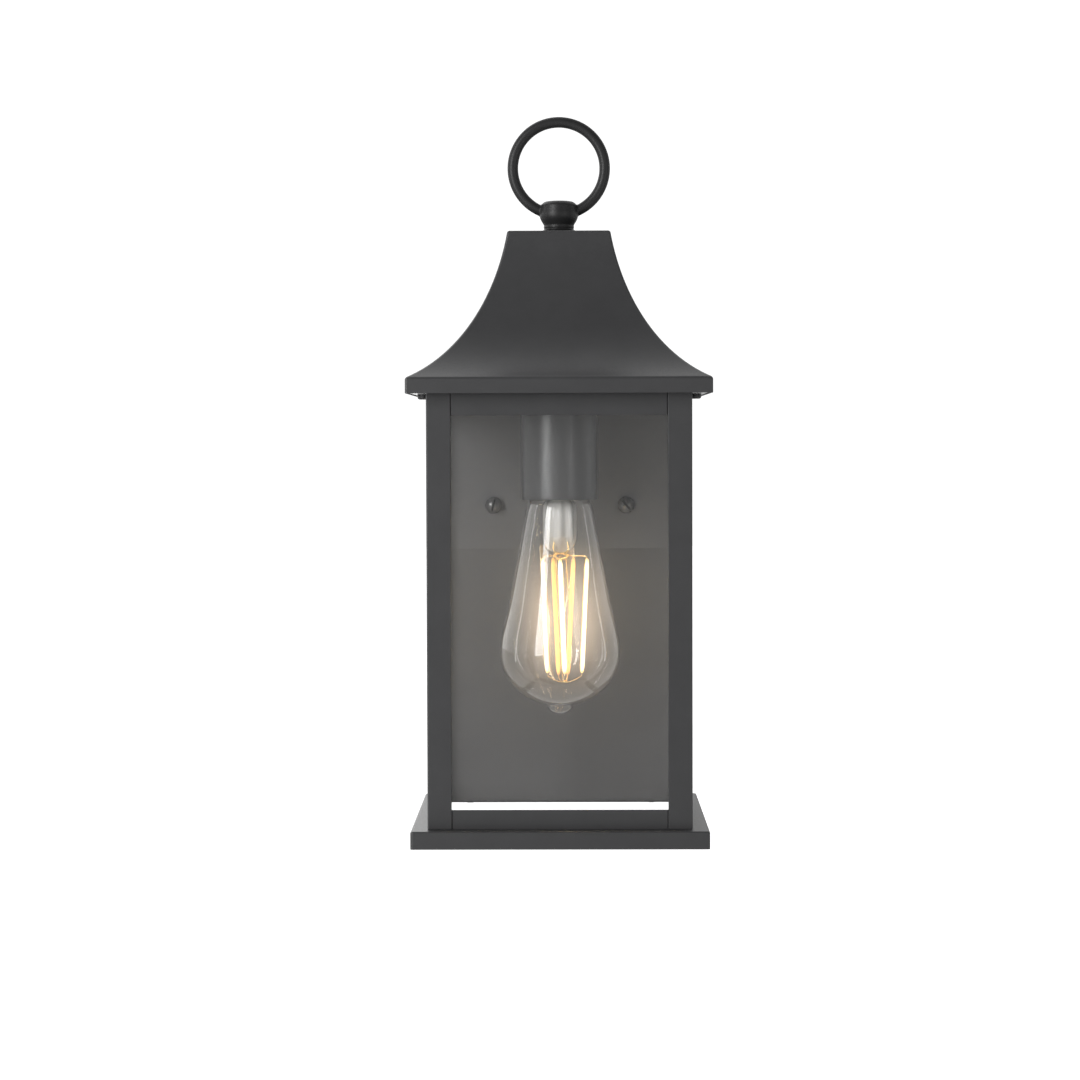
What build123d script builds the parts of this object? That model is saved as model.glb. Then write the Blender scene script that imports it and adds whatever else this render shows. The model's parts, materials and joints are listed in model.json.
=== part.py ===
from build123d import *
import os
from math import acos, asin, cos, degrees, radians, sin, tan

# Outdoor wall lantern, millimetres. X runs across the lantern, Y towards the wall, Z up.
# The origin is on the wall, halfway between the two mounting studs.

# ---- driving dimensions ----
ROOF_WIDTH = 154.6        # the roof's lip is square
ROOF_CENTRE_Y = -ROOF_WIDTH / 2
WALL_GAP = 0.6            # roof and base stop this far short of the wall
LIP_BOTTOM = 59.0
ROOF_TOP = 143.9
SHEET = 1.2               # roof and ceiling sheet
THIN_SHEET = 1.0          # posts, rails, wall pan and base

# the roof's concave sweep is part of an ellipse outside the roof
SWEEP_CENTRE = (100.0, 169.6)
SWEEP_RADII = (75.5, 107.7)

BODY_WIDTH = 134.5
BODY_FRONT = -144.8
BODY_BOTTOM = -161.9
CEILING = 59.3            # underside of the ceiling plate
POST_FACE = 12.3
REAR_POST_LEG = 7.5
RAIL_SETBACK = 0.6
SEAM = 0.4                # seam between a rail's face and a post
TAB_GAP = 0.06            # a rail's end tab stops this far behind the post's sheet
TAB_REACH = 2.6           # the tab closes the seam from behind
TOP_RAIL_BOTTOM = 47.95
BOTTOM_RAIL_TOP = -152.1
SILL_DEPTH = 6.0          # the rails' inward flange
GLASS = 2.5
PAN_DEPTH = 30.0          # wall pan, from the wall to its front face

BASE_WIDTH = 151.4
BASE_FRONT = -153.0
BASE_BOTTOM = -171.0
BASE_EDGE_RADIUS = 1.0
BASE_OPENING_HALF = 59.6
BASE_OPENING_FRONT = -134.0

BASE_SCREW_X = 50.0
FRONT_SCREW_Y = -138.3
REAR_SCREW_Y = -15.0
BASE_SCREW_RADIUS = 1.5

RING_CENTRE_Z = 178.4
RING_OUTER = 54.1
RING_WIRE = 5.7
BALL_CENTRE_Z = 154.9
BALL_TOP = 161.3
FINIAL_RADIUS = 2.45      # stud that holds the ring holder on the roof
EAVE_SCREW_X = 71.5
EAVE_SCREW_RADIUS = 1.95

STUD_SPACING = 72.4
STUD_RADIUS = 2.05
DOME_RADIUS = 4.7
CROSSBAR_HALF = 55.0
CROSSBAR_HEIGHT = 19.0
CROSSBAR = 1.8            # thickness
BOX_SCREW_SPACING = 88.9  # junction-box screws
SLOT_LENGTH = 8.0
SLOT_HALF_WIDTH = 2.3
GROUND_SCREW_X = 17.0
GROUND_SCREW_RADIUS = 1.95

LAMP_Y = -84.0            # lamp axis
CUP_RADIUS = 20.0
CUP_BOTTOM = 4.0
BULB_RADIUS = 31.9
BULB_WIDEST = -76.5
BULB_SAG = 28.5           # from the widest line to the bottom of the round end
BULB_TIP = -109.5
BULB_GLASS = 0.9
HOLDER_BOTTOM = 9.0       # porcelain lampholder
HOLDER_TOP = 40.0
HOLDER_RADIUS = 18.5
HOLDER_BORE_RADIUS = 14.1
HOLDER_BORE_TOP = 36.2
BRACKET_Z = 51.0
NIPPLE_RADIUS = 5.0
NIPPLE_BORE_RADIUS = 3.7
CAP_RADIUS = 12.95
CAP_PITCH = 3.63
CAP_BOTTOM = 5.0
CAP_TOP = 24.5
LAMP_TOP = CAP_TOP + 5.0
FILAMENT_SHIFT = 2.5      # the mount sits this far off the lamp's axis
FILAMENT_RADIUS = 1.3
FILAMENT_HUB_Z = -92.0
# one row each: angle, radius and height at the top, then at the end
FILAMENTS = [
    (-101.0, 12.0, -27.0, -90.0, 9.4, -87.0),
    (-18.0, 12.4, -27.0, -18.0, 9.5, -87.0),
    (59.0, 9.3, -27.0, 68.0, 4.4, -88.5),
    (131.0, 9.3, -27.0, 138.0, 4.4, -88.5),
    (198.0, 12.0, -27.0, 198.0, 9.6, -87.0),
]
LEAD_DIAMETER = 2.0
GROUND_LEAD_DIAMETER = 1.6
GROMMET_Y = -15.0
GROMMET_RADIUS = 6.0
GROMMET_BORE_RADIUS = 4.4
CLEAR = 0.05              # radial clearance of a screw in its thread

# the panes stand on the rails' sills, behind the rails
GLASS_BOTTOM = BODY_BOTTOM + THIN_SHEET + 0.2
GLASS_TOP = CEILING - THIN_SHEET - 0.3
FRONT_GLASS_Y = BODY_FRONT + RAIL_SETBACK + THIN_SHEET + 0.2
SIDE_GLASS_X = BODY_WIDTH / 2 - RAIL_SETBACK - THIN_SHEET - 0.15

os.makedirs("parts", exist_ok=True)


def save(name, shape):
    solids = shape.solids() if not isinstance(shape, list) else shape
    joined = solids[0] if len(solids) == 1 else Compound(children=list(solids))
    export_step(joined, "parts/" + name + ".step")


# ---- small builders ----
def block(x0, x1, y0, y1, z0, z1):
    """A box between two corners, given in either order."""
    x0, x1 = sorted((x0, x1))
    y0, y1 = sorted((y0, y1))
    z0, z1 = sorted((z0, z1))
    return Pos((x0 + x1) / 2, (y0 + y1) / 2, (z0 + z1) / 2) * Box(x1 - x0, y1 - y0, z1 - z0)


def rod(x, y, z0, z1, radius):
    """A round bar along Z."""
    z0, z1 = sorted((z0, z1))
    return Pos(x, y, (z0 + z1) / 2) * Cylinder(radius, z1 - z0)


def rod_y(x, z, y0, y1, radius):
    """A round bar along Y."""
    y0, y1 = sorted((y0, y1))
    return Pos(x, (y0 + y1) / 2, z) * Rot(90, 0, 0) * Cylinder(radius, y1 - y0)


def hex_z(x, y, z0, z1, across_flats, bore):
    """A hexagon nut with its axis along Z."""
    outline = RegularPolygon(across_flats / 2, 6, major_radius=False)
    body = Pos(x, y, z0) * extrude(outline, z1 - z0)
    return body - rod(x, y, z0 - 1, z1 + 1, bore)


def turned(points, x=0.0, y=0.0):
    """A solid of revolution about Z, from the (radius, z) corners of its half section."""
    face = Plane.XZ * make_face(Polyline(*points, close=True))
    return Pos(x, y, 0) * revolve(face, Axis.Z)


def screw_up(x, y, seat, shank_radius, shank_length, head_radius, head_height):
    """A pan-head screw driven upwards, with a cross recess in its domed head."""
    under = seat - head_height
    head = rod(x, y, under, seat, head_radius)
    head = fillet(head.faces().sort_by(Axis.Z)[0].edges(), head_height * 0.55)
    arm = head_radius * 0.55
    depth = head_height * 0.45
    width = head_radius * 0.24
    for wide, deep in ((arm, width / 2), (width / 2, arm)):
        head -= block(x - wide, x + wide, y - deep, y + deep, under - 0.1, under + depth)
    return head + rod(x, y, seat, seat + shank_length, shank_radius)


# ---- top: ring, holder and their fastening ----
def ring_torus(extra=0.0):
    wire = RING_WIRE / 2 + extra
    torus = Torus(RING_OUTER / 2 - RING_WIRE / 2, wire)
    return Pos(0, ROOF_CENTRE_Y, RING_CENTRE_Z) * Rot(90, 0, 0) * torus


def ring_holder():
    """Turned knob: flared foot, neck, and a barrel that the ring passes through sideways."""
    foot = ROOF_TOP
    section = [
        Line((0, foot), (10.6, foot)),
        Line((10.6, foot), (10.6, foot + 0.8)),
        ThreePointArc((10.6, foot + 0.8), (8.6, foot + 2.6), (7.9, foot + 5.0)),
        ThreePointArc((7.9, foot + 5.0), (8.3, foot + 6.5), (9.5, foot + 7.7)),
        ThreePointArc((9.5, foot + 7.7), (10.0, BALL_CENTRE_Z - 1.2), (9.6, BALL_CENTRE_Z + 1.2)),
        ThreePointArc((9.6, BALL_CENTRE_Z + 1.2), (7.9, BALL_TOP - 1.6), (4.4, BALL_TOP - 0.2)),
        Line((4.4, BALL_TOP - 0.2), (0, BALL_TOP)),
        Line((0, BALL_TOP), (0, foot)),
    ]
    knob = revolve(Plane.XZ * make_face(section), Axis.Z)
    knob = Pos(0, ROOF_CENTRE_Y, 0) * knob
    knob -= ring_torus(CLEAR)
    return knob - rod(0, ROOF_CENTRE_Y, foot - 1, foot + 6.9, FINIAL_RADIUS + CLEAR)


def top_fastening():
    under = ROOF_TOP - SHEET
    seat = under - 1.2
    save("finial_stud", rod(0, ROOF_CENTRE_Y, under - 8.5, ROOF_TOP + 6.6, FINIAL_RADIUS))
    washer = rod(0, ROOF_CENTRE_Y, seat, under, 6.5)
    save("finial_washer", washer - rod(0, ROOF_CENTRE_Y, under - 2, under + 1, FINIAL_RADIUS + 0.25))
    save("finial_nut", hex_z(0, ROOF_CENTRE_Y, seat - 4, seat, 8.0, FINIAL_RADIUS + CLEAR))


# ---- roof ----
def roof_section(inset, bottom):
    """The roof's outline in one plane, inset towards its inside."""
    half = ROOF_WIDTH / 2 - inset
    cx, cz = SWEEP_CENTRE
    rx, rz = SWEEP_RADII[0] + inset, SWEEP_RADII[1] + inset
    top = ROOF_TOP - inset
    # the sweep runs from the lip, where x is the half width, up to the flat top
    lip_angle = degrees(acos((cx - half) / rx))
    top_angle = degrees(asin((cz - top) / rz))
    lip_top = cz - rz * sin(radians(lip_angle))
    top_half = cx - rx * cos(radians(top_angle))
    right = [
        Line((0, bottom), (half, bottom)),
        Line((half, bottom), (half, lip_top)),
        EllipticalCenterArc((cx, cz), rx, rz, 180 + top_angle, arc_size=lip_angle - top_angle),
        Line((top_half, top), (0, top)),
        Line((0, top), (0, bottom)),
    ]
    face = make_face(right)
    return face + mirror(face, Plane.YZ)


def roof_solid(inset, bottom):
    """Two swept outlines crossed at right angles meet in the four hips."""
    section = roof_section(inset, bottom)
    across = Plane((0, ROOF_CENTRE_Y, 0), x_dir=(1, 0, 0), z_dir=(0, -1, 0))
    along = Plane((0, ROOF_CENTRE_Y, 0), x_dir=(0, 1, 0), z_dir=(1, 0, 0))
    reach = ROOF_WIDTH
    return extrude(across * section, reach, both=True) & extrude(along * section, reach, both=True)


def roof_shell():
    """Folded sheet. At the wall its lip stops above the ceiling plate."""
    shell = roof_solid(0.0, LIP_BOTTOM) - roof_solid(SHEET, LIP_BOTTOM - 1)
    far = ROOF_WIDTH
    shell -= block(-far, far, -WALL_GAP, 20, LIP_BOTTOM - 5, ROOF_TOP)
    inner = ROOF_WIDTH / 2 - SHEET
    back_plane = -WALL_GAP - SHEET
    back = block(-inner, inner, back_plane, -WALL_GAP, LIP_BOTTOM, ROOF_TOP)
    shell += back & roof_solid(0.0, LIP_BOTTOM)
    notch = CEILING + SHEET + 0.2
    shell -= block(-inner, inner, back_plane - 0.1, 1, LIP_BOTTOM - 1, notch)
    return shell - rod(0, ROOF_CENTRE_Y, ROOF_TOP - 5, ROOF_TOP + 5, FINIAL_RADIUS + 0.3)


def roof_tab(side):
    """Angle welded inside the lip that an eave screw is driven into."""
    inner = ROOF_WIDTH / 2 - SHEET
    bottom = CEILING + SHEET + 0.2
    y0, y1 = ROOF_CENTRE_Y - 7, ROOF_CENTRE_Y + 7
    tab = block(side * (inner - 9.6), side * inner, y0, y1, bottom, bottom + 1.5)
    tab += block(side * (inner - 1.2), side * inner, y0, y1, bottom, bottom + 4.8)
    bore = EAVE_SCREW_RADIUS + CLEAR
    return tab - rod(side * EAVE_SCREW_X, ROOF_CENTRE_Y, bottom - 1, bottom + 3, bore)


def ceiling_plate():
    half = ROOF_WIDTH / 2 - SHEET - 0.3
    front = -ROOF_WIDTH + SHEET + 0.3
    plate = block(-half, half, front, -WALL_GAP, CEILING, CEILING + SHEET)
    low, high = CEILING - 1, CEILING + SHEET + 1
    for side in (-1, 1):
        plate -= rod(side * EAVE_SCREW_X, ROOF_CENTRE_Y, low, high, 2.2)
    plate -= rod(0, LAMP_Y, low, high, NIPPLE_RADIUS + 0.2)
    return plate - rod(0, GROMMET_Y, low, high, GROMMET_RADIUS + CLEAR)


def eave_screws():
    screws = [screw_up(side * EAVE_SCREW_X, ROOF_CENTRE_Y, CEILING, EAVE_SCREW_RADIUS, 5.6, 3.5, 2.3)
              for side in (-1, 1)]
    return [screw.solids()[0] for screw in screws]


# ---- cage ----
def corner_post(side, rear):
    """Angle-section post. The outer corner faces front or back and to its side."""
    edge = side * BODY_WIDTH / 2
    inner = edge - side * THIN_SHEET
    outer_y = -PAN_DEPTH if rear else BODY_FRONT
    inward = -1 if rear else 1
    leg = REAR_POST_LEG if rear else POST_FACE
    sheet_y = outer_y + inward * THIN_SHEET
    wing_y = outer_y + inward * POST_FACE
    face = block(edge, edge - side * leg, outer_y, sheet_y, BODY_BOTTOM, CEILING)
    wing = block(edge, inner, outer_y, wing_y, BODY_BOTTOM, CEILING)
    post = face + wing
    if rear:
        return post
    corner = post.edges().filter_by(Axis.Z).sort_by_distance((edge, outer_y, 0))[0]
    return fillet(corner, 0.7)


def front_rail(low, high, sill_at_top):
    """At both ends a tab reaches behind the post's sheet."""
    half = BODY_WIDTH / 2 - POST_FACE - SEAM
    face = BODY_FRONT + RAIL_SETBACK
    back = face + THIN_SHEET
    rail = block(-half, half, face, back, low, high)
    tab = BODY_FRONT + THIN_SHEET + TAB_GAP
    rail += block(-half - TAB_REACH, half + TAB_REACH, tab, back, low, high)
    sill = high - THIN_SHEET if sill_at_top else low
    return rail + block(-half, half, face, back + SILL_DEPTH, sill, sill + THIN_SHEET)


def front_bottom_rail():
    """The sill takes the two front base screws."""
    rail = front_rail(BODY_BOTTOM, BOTTOM_RAIL_TOP, False)
    bore = BASE_SCREW_RADIUS + CLEAR
    for side in (-1, 1):
        rail -= rod(side * BASE_SCREW_X, FRONT_SCREW_Y, BODY_BOTTOM - 1, BODY_BOTTOM + 2, bore)
    return rail


def side_rail(side, low, high, sill_at_top):
    y0 = BODY_FRONT + POST_FACE + SEAM
    y1 = -PAN_DEPTH - POST_FACE - SEAM
    face = side * (BODY_WIDTH / 2 - RAIL_SETBACK)
    back = face - side * THIN_SHEET
    rail = block(face, back, y0, y1, low, high)
    tab = side * (BODY_WIDTH / 2 - THIN_SHEET - TAB_GAP)
    rail += block(tab, back, y0 - TAB_REACH, y1 + TAB_REACH, low, high)
    sill = high - THIN_SHEET if sill_at_top else low
    return rail + block(face, back - side * SILL_DEPTH, y0, y1, sill, sill + THIN_SHEET)


def front_glass():
    y0 = FRONT_GLASS_Y
    return block(-SIDE_GLASS_X, SIDE_GLASS_X, y0, y0 + GLASS, GLASS_BOTTOM, GLASS_TOP)


def side_glass(side):
    y0 = FRONT_GLASS_Y + GLASS + 0.3
    y1 = -PAN_DEPTH - THIN_SHEET - 0.3
    x0 = side * SIDE_GLASS_X
    return block(x0, x0 - side * GLASS, y0, y1, GLASS_BOTTOM, GLASS_TOP)


def glass_clips():
    """Small angles behind the rails, on the sills below and on the ceiling plate above."""
    thick = 0.8
    length = 8.0
    rise = 7.0
    foot = 3.0
    front = FRONT_GLASS_Y + GLASS + 0.2
    sidewall = SIDE_GLASS_X - GLASS - 0.2
    clips = []
    for z, up in ((BODY_BOTTOM + THIN_SHEET, 1), (CEILING - THIN_SHEET, -1)):
        for x in (-30, 30):
            upright = block(x - length / 2, x + length / 2, front, front + thick, z, z + up * rise)
            sole = block(x - length / 2, x + length / 2, front, front + foot, z, z + up * thick)
            clips.append((upright + sole).solids()[0])
        for side in (-1, 1):
            for y in (-118, -56):
                x0 = side * sidewall
                y0, y1 = y - length / 2, y + length / 2
                upright = block(x0, x0 - side * thick, y0, y1, z, z + up * rise)
                sole = block(x0, x0 - side * foot, y0, y1, z, z + up * thick)
                clips.append((upright + sole).solids()[0])
    return clips


# ---- wall side ----
def wall_pan():
    half = BODY_WIDTH / 2
    inner = half - THIN_SHEET
    floor = BODY_BOTTOM + THIN_SHEET
    pan = block(-half, half, -PAN_DEPTH, 0, BODY_BOTTOM, CEILING)
    pan -= block(-inner, inner, -PAN_DEPTH + THIN_SHEET, 1, floor, CEILING + 1)
    for side in (-1, 1):
        pan -= rod_y(side * STUD_SPACING / 2, 0, -PAN_DEPTH - 1, -PAN_DEPTH + 3, 2.5)
        bore = BASE_SCREW_RADIUS + CLEAR
        pan -= rod(side * BASE_SCREW_X, REAR_SCREW_Y, BODY_BOTTOM - 1, floor + 1, bore)
    return pan


def crossbar():
    """Flat bar on the junction box, with slots for the box screws and tapped stud holes."""
    tall = CROSSBAR_HEIGHT / 2
    bar = block(-CROSSBAR_HALF, CROSSBAR_HALF, -CROSSBAR, 0, -tall, tall)
    bar = fillet(bar.edges().filter_by(Axis.Y), 3)
    straight = SLOT_LENGTH / 2 - SLOT_HALF_WIDTH
    for side in (-1, 1):
        middle = side * BOX_SCREW_SPACING / 2
        bar -= rod_y(side * STUD_SPACING / 2, 0, -3, 1, STUD_RADIUS + CLEAR)
        for end in (-1, 1):
            bar -= rod_y(middle + end * straight, 0, -3, 1, SLOT_HALF_WIDTH)
        bar -= block(middle - straight, middle + straight, -3, 1, -SLOT_HALF_WIDTH, SLOT_HALF_WIDTH)
    bar -= rod_y(0, 0, -3, 1, 5.0)
    return bar - rod_y(GROUND_SCREW_X, 0, -3, 1, GROUND_SCREW_RADIUS + CLEAR)


def studs_and_nuts():
    studs, locknuts, domes = [], [], []
    face = -PAN_DEPTH
    for side, slot_turn in ((-1, 16), (1, -42)):
        x = side * STUD_SPACING / 2
        studs.append(rod_y(x, 0, -0.2, face - 4.2, STUD_RADIUS).solids()[0])
        outline = RegularPolygon(4.0, 6, major_radius=False, rotation=30)
        plane = Plane((x, -CROSSBAR, 0), x_dir=(1, 0, 0), z_dir=(0, -1, 0))
        nut = extrude(plane * outline, 3.0) - rod_y(x, 0, -10, 1, STUD_RADIUS + CLEAR)
        locknuts.append(nut.solids()[0])
        # dome nut: the front part of a ball, bored for the stud, with a driver slot
        ball = Pos(x, face - 1.4, 0) * Sphere(DOME_RADIUS)
        dome = ball & rod_y(x, 0, face, face - 9, DOME_RADIUS)
        dome -= rod_y(x, 0, face + 1, face - 4.4, STUD_RADIUS + CLEAR)
        cut = Pos(x, face - 5.8, 0) * Rot(0, slot_turn, 0) * Box(1.1, 1.8, 12)
        domes.append((dome - cut).solids()[0])
    save("mounting_studs", studs)
    save("stud_locknuts", locknuts)
    save("dome_nuts", domes)


def ground_screw():
    head = rod_y(GROUND_SCREW_X, 0, -CROSSBAR - 2.4, -CROSSBAR, 4.2)
    low, high = -CROSSBAR - 3, -CROSSBAR - 1.4
    head -= block(GROUND_SCREW_X - 0.6, GROUND_SCREW_X + 0.6, low, high, -5, 5)
    return head + rod_y(GROUND_SCREW_X, 0, -CROSSBAR, -0.2, GROUND_SCREW_RADIUS)


# ---- base ----
def base_screw_places():
    return [(x, y) for x in (-BASE_SCREW_X, BASE_SCREW_X) for y in (FRONT_SCREW_Y, REAR_SCREW_Y)]


def base_frame():
    """Shallow tray upside down: a top sheet with a large opening, and lips on three sides."""
    half = BASE_WIDTH / 2
    back = -WALL_GAP
    tray = block(-half, half, BASE_FRONT, back, BASE_BOTTOM, BODY_BOTTOM)
    corners = tray.edges().filter_by(Axis.Z).sort_by(Axis.Y)[:2]
    tray = fillet(corners, 1.5)
    top_edges = tray.faces().sort_by(Axis.Z)[-1].edges()
    rear_edges = top_edges.filter_by(lambda e: abs(e.center().Y - back) < 0.01)
    tray = fillet([e for e in top_edges if e not in rear_edges], BASE_EDGE_RADIUS)
    under = BODY_BOTTOM - THIN_SHEET
    lip = THIN_SHEET
    tray -= block(-half + lip, half - lip, BASE_FRONT + lip, back + 1, BASE_BOTTOM - 1, under)
    opening_back = -PAN_DEPTH - 0.1
    open_half = BASE_OPENING_HALF
    above = BODY_BOTTOM + 1
    tray -= block(-open_half, open_half, BASE_OPENING_FRONT, opening_back, under - 1, above)
    for x, y in base_screw_places():
        tray -= rod(x, y, under - 1, above, BASE_SCREW_RADIUS + 0.2)
    return tray


def base_screws():
    seat = BODY_BOTTOM - THIN_SHEET
    screws = [screw_up(x, y, seat, BASE_SCREW_RADIUS, 6.0, 2.9, 1.9) for x, y in base_screw_places()]
    return [screw.solids()[0] for screw in screws]


# ---- lampholder ----
def socket_cup():
    cup = rod(0, LAMP_Y, CUP_BOTTOM, CEILING, CUP_RADIUS)
    cup = fillet(cup.faces().sort_by(Axis.Z)[-1].edges(), 0.8)
    cup -= rod(0, LAMP_Y, CUP_BOTTOM - 1, CEILING - THIN_SHEET, CUP_RADIUS - THIN_SHEET)
    return cup - rod(0, LAMP_Y, CEILING - 2, CEILING + 1, NIPPLE_RADIUS + 0.2)


def lampholder_body():
    body = rod(0, LAMP_Y, HOLDER_BOTTOM, HOLDER_TOP, HOLDER_RADIUS)
    body = fillet(body.faces().sort_by(Axis.Z)[-1].edges(), 1.5)
    body -= rod(0, LAMP_Y, HOLDER_BOTTOM - 1, HOLDER_BORE_TOP, HOLDER_BORE_RADIUS)
    return body - rod(0, LAMP_Y, HOLDER_BORE_TOP - 1, HOLDER_TOP + 1, 3.4)


def screw_shell():
    outer = HOLDER_BORE_RADIUS - 0.1
    shell = rod(0, LAMP_Y, HOLDER_BOTTOM + 1.0, HOLDER_BORE_TOP - 2.2, outer)
    return shell - rod(0, LAMP_Y, HOLDER_BOTTOM, HOLDER_BORE_TOP, outer - 0.5)


def centre_contact():
    """Spring tongue: a strip on the holder's inner top, folded back down to the lamp's tip."""
    top = HOLDER_BORE_TOP - 0.1
    touch = LAMP_TOP + 0.3
    thick = 0.5
    fold = LAMP_Y + 8.7
    strip = block(-7.5, 7.5, LAMP_Y + 3.7, fold, top - thick, top)
    outline = Polyline((fold, top - thick), (fold, top - 2 * thick), (LAMP_Y, touch),
                       (LAMP_Y - 2.4, touch + 0.9), (LAMP_Y - 2.4, touch + 0.9 + thick),
                       (LAMP_Y, touch + thick), (fold - 0.7, top - 1.4 * thick),
                       (fold - 0.7, top - thick), close=True)
    side = Plane((0, 0, 0), x_dir=(0, 1, 0), z_dir=(1, 0, 0))
    return strip + extrude(side * make_face(outline), 2.5, both=True)


def lampholder_bracket():
    """Strap that hangs the lampholder from the threaded tube."""
    disc = rod(0, LAMP_Y, BRACKET_Z, BRACKET_Z + 1.5, 15.5)
    disc &= block(-8, 8, LAMP_Y - 20, LAMP_Y + 20, BRACKET_Z - 1, BRACKET_Z + 3)
    for side in (-1, 1):
        y0 = LAMP_Y + side * 12.0
        disc += block(-5, 5, y0, y0 + side * 1.2, HOLDER_TOP, BRACKET_Z + 0.5)
    return disc - rod(0, LAMP_Y, BRACKET_Z - 1, BRACKET_Z + 3, NIPPLE_RADIUS + CLEAR)


def nipple():
    tube = rod(0, LAMP_Y, BRACKET_Z - 4, CEILING + 9, NIPPLE_RADIUS)
    return tube - rod(0, LAMP_Y, BRACKET_Z - 5, CEILING + 10, NIPPLE_BORE_RADIUS)


def nipple_locknuts():
    bore = NIPPLE_RADIUS + CLEAR
    seats = (BRACKET_Z - 3.0, BRACKET_Z + 1.5, CEILING - THIN_SHEET - 3.0, CEILING + SHEET)
    return [hex_z(0, LAMP_Y, z, z + 3.0, 14.0, bore).solids()[0] for z in seats]


def ceiling_grommet():
    low, high = CEILING, CEILING + SHEET
    flange = GROMMET_RADIUS + 2.0
    ring = rod(0, GROMMET_Y, low, high, GROMMET_RADIUS)
    ring += rod(0, GROMMET_Y, low - 1.4, low, flange)
    ring += rod(0, GROMMET_Y, high, high + 1.4, flange)
    return ring - rod(0, GROMMET_Y, low - 2, high + 2, GROMMET_BORE_RADIUS)


# ---- lamp ----
def bulb_outline(inset):
    """Half section of one side of the lamp's glass: shoulder, straight flank, swell, bowl and tip."""
    widest = BULB_RADIUS - inset
    depth = BULB_SAG - inset
    seal_angle = 14.0
    seal_x = widest * sin(radians(seal_angle))
    seal_z = BULB_WIDEST - depth * cos(radians(seal_angle))
    tip = BULB_TIP + inset
    neck = (14.2 - inset, CAP_BOTTOM + 0.2)
    flank_top = (18.0 - inset, -3.0)
    flank_end = (26.0 - inset, -46.0)
    belly = (widest, BULB_WIDEST)
    shoulder = Bezier(neck, (16.0 - inset, 4.2), (17.3 - inset, 0.9), flank_top)
    flank = Line(flank_top, flank_end)
    swell = Bezier(flank_end, (28.2 - inset, -58.0), (widest, -66.5), belly)
    turn = 90 - seal_angle
    bowl = EllipticalCenterArc((0, BULB_WIDEST), widest, depth, 270 + seal_angle, arc_size=turn)
    seal = Bezier((seal_x, seal_z), (seal_x * 0.55, seal_z - 0.4), (3.0, tip), (0, tip))
    return [shoulder, flank, swell, bowl, seal], tip


def bulb_glass():
    """The glass wall is one closed half section: outside down to the tip, inside back up."""
    outside, outer_tip = bulb_outline(0.0)
    inside, inner_tip = bulb_outline(BULB_GLASS)
    joins = [Line((0, outer_tip), (0, inner_tip)), Line(inside[0] @ 0, outside[0] @ 0)]
    return Pos(0, LAMP_Y, 0) * revolve(Plane.XZ * make_face(outside + inside + joins), Axis.Z)


def bulb_cap():
    """Screw cap: a plain skirt, then rolled thread crests on a thin shell."""
    crest = CAP_RADIUS
    root = CAP_RADIUS - 0.75
    rings = int((CAP_TOP - CAP_BOTTOM - 3.0) / CAP_PITCH)
    points = [(crest - 0.5, CAP_BOTTOM + 0.2), (crest, CAP_BOTTOM + 0.7), (crest, CAP_BOTTOM + 2.6)]
    for i in range(rings):
        z = CAP_BOTTOM + 3.0 + i * CAP_PITCH
        points += [(root, z + 0.25 * CAP_PITCH), (root, z + 0.4 * CAP_PITCH),
                   (crest, z + 0.7 * CAP_PITCH), (crest, z + 0.9 * CAP_PITCH)]
    points += [(root - 0.6, CAP_TOP), (root - 1.3, CAP_TOP), (root - 1.3, CAP_BOTTOM + 0.2)]
    return turned(points, 0, LAMP_Y)


def bulb_insulator():
    low = CAP_TOP
    points = [(5.0, low - 2.0), (10.8, low - 2.0), (10.8, low), (5.2, low + 3.4), (5.0, low + 3.4)]
    return turned(points, 0, LAMP_Y)


def bulb_tip():
    low = CAP_TOP
    button = rod(0, LAMP_Y, low - 1.0, LAMP_TOP, 4.9)
    return fillet(button.faces().sort_by(Axis.Z)[-1].edges(), 2.2)


def bulb_stem():
    """Flared glass mount tube, pressed to a flat end that holds the lead-in wires."""
    points = [(6.2, 4.0), (8.4, 0.5), (8.4, -16.0), (7.0, -20.0), (4.2, -23.0), (0, -23.0),
              (0, -21.5), (3.6, -21.5), (6.2, -18.8), (7.5, -15.6), (7.5, 0.8), (5.4, 4.0)]
    return turned(points, 0, LAMP_Y)


def filament_ends(row):
    """Top and bottom of one filament. They stand in a ring that narrows downwards."""
    ends = []
    for angle, radius, height in (row[:3], row[3:]):
        turn = radians(angle)
        ends.append(Vector(FILAMENT_SHIFT + radius * cos(turn), LAMP_Y + radius * sin(turn), height))
    return ends


def stick(start, end, radius):
    """A round bar between two points."""
    plane = Plane(start, z_dir=end - start)
    return extrude(plane * Circle(radius), (end - start).length).solids()[0]


def filaments():
    return [stick(*filament_ends(row), FILAMENT_RADIUS) for row in FILAMENTS]


def support_wires():
    """Fine wires from the pressed stem to both ends of the filaments, fanned from two hubs."""
    wire = 0.3
    upper = Vector(1.2, LAMP_Y, -24.6)
    lower = Vector(FILAMENT_SHIFT, LAMP_Y, FILAMENT_HUB_Z)
    hub = stick(upper + Vector(0, 0, 1.4), lower, 0.6)
    wires = Pos(*upper) * Sphere(1.0) + Pos(*lower) * Sphere(1.0) + hub
    for row in FILAMENTS:
        top, end = filament_ends(row)
        out = (end - top).normalized() * 0.25
        wires += stick(upper, top - out, wire)
        wires += stick(lower, end + out, wire)
    return wires


def driver_board():
    board = block(-8.0, 8.0, LAMP_Y - 0.5, LAMP_Y + 0.5, 8.5, 21.5)
    board += rod_y(-2.5, 14.5, LAMP_Y + 0.5, LAMP_Y + 7.0, 3.0)
    return board + block(2.0, 6.0, LAMP_Y - 2.6, LAMP_Y - 0.5, 11.0, 17.0)


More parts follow.
